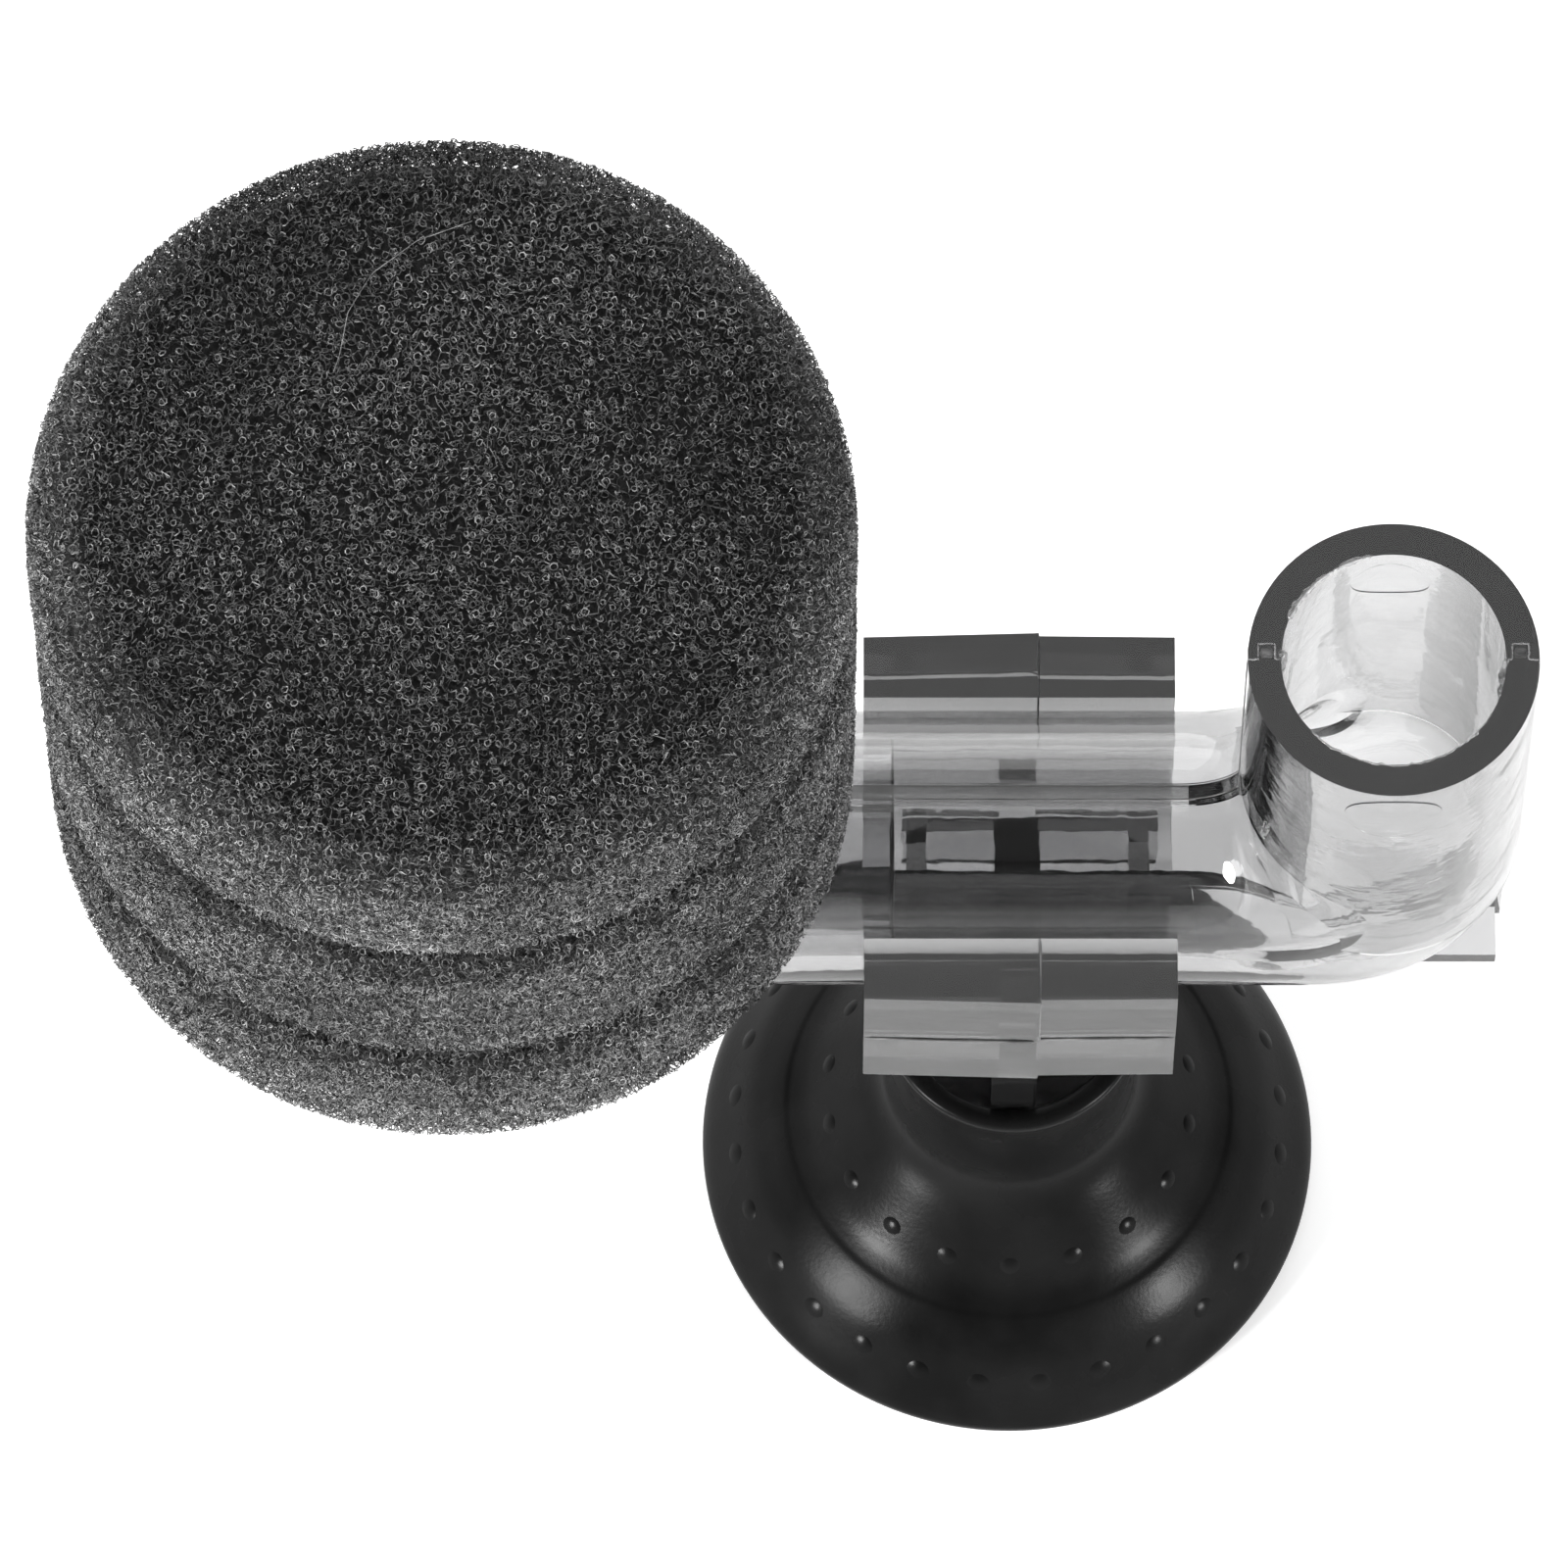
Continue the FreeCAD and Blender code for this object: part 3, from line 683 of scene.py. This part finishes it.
def glue_bead(side, name, glue):
    """Glue that has run down the bore along the joint."""
    count = 26
    z = np.linspace(LEG_TOP + 0.05, LEG_TOP - GLUE_RUN[name], count)
    r = LEG_BORE_R - 0.06 + rng.normal(0, 0.04, count)
    y = 0.9 * np.sin(np.linspace(0.2, 2.6, count)) - 0.2 * side + rng.normal(0, 0.05, count)
    bead = np.stack([LEG_X + side * np.sqrt(r**2 - y**2), y, z], -1)
    thick = ragged(count, 0.12, 0.5) * np.linspace(1.0, 0.45, count)
    return swept(f"glue_bead_{name}", bead, thick, glue)


def glue_flash(name, first, last, count, high, glue):
    """Squeezed-out glue round part of the mouth's inner edge, between two angles in degrees."""
    angle = np.radians(np.linspace(first, last, count))
    r = LEG_BORE_R + 0.03 + rng.normal(0, 0.05, count)
    x, y, z = LEG_X + r * np.cos(angle), r * np.sin(angle), np.full(count, LEG_TOP - 0.02)
    return swept(f"glue_flash_{name}", np.stack([x, y, z], -1), ragged(count, 0.03, high), glue, 6)


def build_seams():
    shadow, glue = seam_material(), glue_material()
    pieces = seam_lines(shadow)
    for side, name in ((-1, "left"), (1, "right")):
        pieces.append(key_outline(side, name, glue))
        pieces.append(key_end(side, name, shadow))
        pieces.append(glue_bead(side, name, glue))
    pieces.append(glue_flash("rear", 100, 158, 40, 0.30, glue))
    pieces.append(glue_flash("front", 222, 330, 70, 0.10, glue))
    for piece in pieces:
        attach(piece, "lift_tube")
    build_clip_lines(shadow)
    build_spigot_end(shadow)


def build_clip_lines(shadow):
    """The dark step line along both sides of the clip and the mould's parting line across them."""
    for side, lean, name in ((-1, 0.0, "front"), (1, CLIP_LEAN, "rear")):
        x = np.linspace(-CLIP_LINE_X, CLIP_LINE_X, 40)
        left = np.interp(x, (-CLIP_END_X, CLIP_PART_X), CLIP_LEFT_W)
        right = np.interp(x, (CLIP_PART_X, CLIP_END_X), CLIP_RIGHT_W)
        half = np.where(x < CLIP_PART_X, left, right)
        step = np.stack([x, side * (half + 0.03), np.full(40, CLIP_STEP_Z)], -1)
        z = np.linspace(CLIP_STEP_Z + 0.1, CLIP_LIP_Z - 0.05, 14)
        y = CLIP_PART_Y + lean * (z - CLIP_STEP_Z) / (CLIP_LIP_Z - CLIP_STEP_Z)
        parting = np.stack([np.full(14, CLIP_PART_X), side * y, z], -1)
        lip = [(CLIP_PART_X, side * (y + lean), CLIP_LIP_Z) for y in np.linspace(*CLIP_LIP_Y, 12)]
        pieces = [
            swept(f"clip_step_{name}", step, ragged(40, 0.07, 0.14), shadow, 6),
            swept(f"clip_parting_{name}", parting, ragged(14, 0.05, 0.09), shadow, 6),
            swept(f"clip_lip_parting_{name}", lip, ragged(12, 0.04, 0.08), shadow, 6),
        ]
        for piece in pieces:
            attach(piece, "clip")


def build_spigot_end(shadow):
    """The dark edge where the intake elbow's spigot ends inside the lift tube."""
    turn = np.linspace(0, 2 * math.pi, 73)
    y, z = SPIGOT_R * np.cos(turn), TUBE_Z + SPIGOT_R * np.sin(turn)
    edge = np.stack([np.full(73, SPIGOT_X + 0.06), y, z], -1)
    ring = swept("spigot_end_edge", edge, ragged(73, 0.07, 0.13), shadow, 6)
    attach(ring, "intake")


# ---------------------------------------------------------------- stage
FLOOR_SIZE = 6
FLOOR_DROP = 0.0005
# Brightness of the surroundings from straight down or level (0) to straight up (1).
SKY = [(0.0, 1.0), (0.15, 0.82), (0.4, 0.18), (0.8, 0.09), (1.0, 0.13)]
SKY_STRENGTH = 1.6
# Soft boxes: name, place, target, size, power.
LIGHTS = [
    ("left_box", (-0.80, -0.60, 0.31), (0, 0, 0.05), 0.28, 19),
    ("right_box", (0.80, -0.58, 0.29), (0, 0, 0.05), 0.24, 11),
    ("back_box", (-0.10, 1.45, 0.42), (0, 0, 0.08), 1.6, 14),
    ("top_box", (-0.02, 0.42, 1.10), (0, 0, 0.06), 0.5, 1.0),
]


def build_stage():
    """White light-table floor, with surroundings that are bright low down and dim overhead."""
    material, tree, shader = new_material("studio_white")
    shader.inputs["Base Color"].default_value = (0.9, 0.9, 0.9, 1)
    shader.inputs["Roughness"].default_value = 0.9
    shader.inputs["Emission Color"].default_value = (1, 1, 1, 1)
    shader.inputs["Emission Strength"].default_value = 0.36
    bpy.ops.mesh.primitive_plane_add(size=FLOOR_SIZE, location=(0, 0, -FLOOR_DROP))
    floor = bpy.context.object
    floor.name = "studio_floor"
    floor.data.materials.append(material)
    world = bpy.data.worlds.new("studio")
    world.use_nodes = True
    tree = world.node_tree
    place = tree.nodes.new("ShaderNodeTexCoord")
    split = tree.nodes.new("ShaderNodeSeparateXYZ")
    tree.links.new(place.outputs["Generated"], split.inputs[0])
    tree.links.new(ramp(tree, split.outputs["Z"], SKY), tree.nodes["Background"].inputs["Color"])
    tree.nodes["Background"].inputs["Strength"].default_value = SKY_STRENGTH
    bpy.context.scene.world = world
    bpy.context.scene.view_settings.view_transform = "Standard"


def area_light(name, place, target, size, power):
    data = bpy.data.lights.new(name, "AREA")
    data.shape, data.size, data.energy = "DISK", size, power
    lamp = bpy.data.objects.new(name, data)
    bpy.context.scene.collection.objects.link(lamp)
    lamp.location = place
    lamp.rotation_euler = (Vector(target) - Vector(place)).to_track_quat("-Z", "Y").to_euler()


# The camera stands 1.23 m off on a long lens, looking down on the front of the sponge.
CAMERA_AZIMUTH, CAMERA_ELEVATION, CAMERA_ROLL = -0.215, 69.171, 0.223
CAMERA_DISTANCE = 1.2322
CAMERA_AIM = Vector((-0.020, 0.0, 0.100))
AIM_RIGHT, AIM_UP = 0.00213, -0.00690
LENS = 382.6


def build_camera():
    azimuth, elevation, roll = map(math.radians, (CAMERA_AZIMUTH, CAMERA_ELEVATION, CAMERA_ROLL))
    level = math.cos(elevation)
    back = Vector((math.sin(azimuth) * level, -math.cos(azimuth) * level, math.sin(elevation)))
    right = Vector((math.cos(azimuth), math.sin(azimuth), 0))
    up = back.cross(right)
    side = math.cos(roll) * right + math.sin(roll) * up
    top = -math.sin(roll) * right + math.cos(roll) * up
    data = bpy.data.cameras.new("photo_camera")
    data.lens = LENS
    data.clip_start, data.clip_end = 0.05, 10
    camera = bpy.data.objects.new("photo_camera", data)
    bpy.context.scene.collection.objects.link(camera)
    place = CAMERA_AIM + back * CAMERA_DISTANCE + side * AIM_RIGHT + top * AIM_UP
    axes = Matrix((side, top, back)).transposed().to_4x4()
    camera.matrix_world = Matrix.Translation(place) @ axes
    bpy.context.scene.camera = camera


build_stage()
build_camera()
for light in LIGHTS:
    area_light(*light)
build_sponge()
build_cup()
dress_clear_parts()
build_seams()
